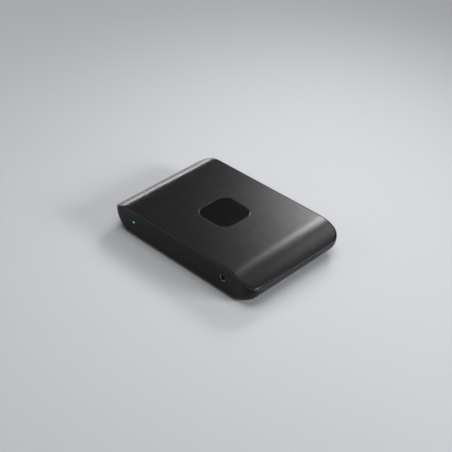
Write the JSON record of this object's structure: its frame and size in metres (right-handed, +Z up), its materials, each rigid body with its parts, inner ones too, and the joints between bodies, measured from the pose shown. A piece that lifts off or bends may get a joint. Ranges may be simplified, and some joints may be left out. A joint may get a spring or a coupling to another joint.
{
  "type": "video capture box",
  "caption": "Flat black box with an arched cover on a round-sided tray, video and data sockets at the back, an audio jack and a status light at the front.",
  "frame": {"origin": "on the table, under the middle of the box", "axes": "+X along the width towards the audio jack's side, -Y out of the front face, +Z up"},
  "size_m": [0.112, 0.072, 0.018],
  "materials": {
    "cover_plastic": "fine satin",
    "tray_plastic": "fine satin",
    "gloss_inlay": "polished",
    "foot_rubber": "matt",
    "screw_steel": "zinc plated",
    "board_laminate": "solder mask",
    "chip_plastic": "moulded",
    "tin_plate": "tinned",
    "coil_ferrite": "matt",
    "cap_ceramic": "matt",
    "sink_aluminium": "extruded",
    "pad_silicone": "matt",
    "standoff_brass": "turned",
    "socket_steel": "nickel plated",
    "socket_plastic": "moulded",
    "contact_gold": "gold plated",
    "light_clear": "clear, lit teal"
  },
  "bodies": {
    "root": {"top_cover": "cover_plastic", "base_tray": "tray_plastic", "top_inlay": "gloss_inlay", "rubber_feet": "foot_rubber", "case_screws": "screw_steel", "sink_screws": "screw_steel", "main_board": "board_laminate", "capture_processor": "chip_plastic", "memory_chips": "chip_plastic", "usb_controller": "chip_plastic", "video_receiver": "chip_plastic", "video_driver": "chip_plastic", "flash_memory": "chip_plastic", "audio_codec": "chip_plastic", "crystals": "tin_plate", "shield_can": "tin_plate", "bulk_capacitors": "tin_plate", "power_inductors": "coil_ferrite", "ceramic_capacitors": "cap_ceramic", "status_led": "cap_ceramic", "heat_sink": "sink_aluminium", "thermal_pad": "pad_silicone", "sink_standoffs": "standoff_brass", "hdmi_in_shell": "socket_steel", "hdmi_out_shell": "socket_steel", "usb_c_shell": "socket_steel", "audio_jack_sleeve": "socket_steel", "hdmi_in_insulator": "socket_plastic", "hdmi_out_insulator": "socket_plastic", "usb_c_insulator": "socket_plastic", "audio_jack_body": "socket_plastic", "hdmi_in_contacts": "contact_gold", "hdmi_out_contacts": "contact_gold", "usb_c_contacts": "contact_gold", "audio_jack_springs": "contact_gold", "light_pipe": "light_clear"}
  },
  "joints": []
}
